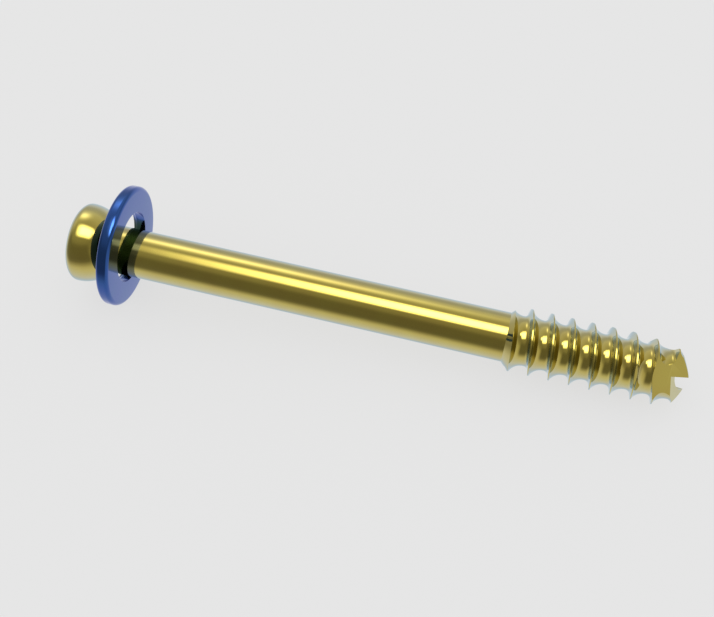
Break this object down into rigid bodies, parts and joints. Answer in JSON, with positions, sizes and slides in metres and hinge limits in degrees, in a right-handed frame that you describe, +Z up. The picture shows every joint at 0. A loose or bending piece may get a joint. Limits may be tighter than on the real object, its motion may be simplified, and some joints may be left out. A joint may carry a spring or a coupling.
{
  "type": "cannulated orthopedic bone screw with washer",
  "caption": "Partly threaded cannulated lag screw for bone, with a ball-bottomed hex head, a fluted drill point and a loose washer, lying at rest.",
  "frame": {"origin": "centre of the bounding box on the surface that the part lies on", "axes": "+Z up; +X level, along the screw from its head to its tip, which lies 2.3 degrees lower; +Y across the screw"},
  "size_m": [0.0626, 0.0124, 0.0124],
  "materials": {
    "gold_anodised": "polished, gold anodised titanium alloy",
    "blue_anodised": "satin, blue anodised titanium alloy"
  },
  "bodies": {
    "root": {"screw": "gold_anodised", "washer": "blue_anodised"}
  },
  "joints": []
}
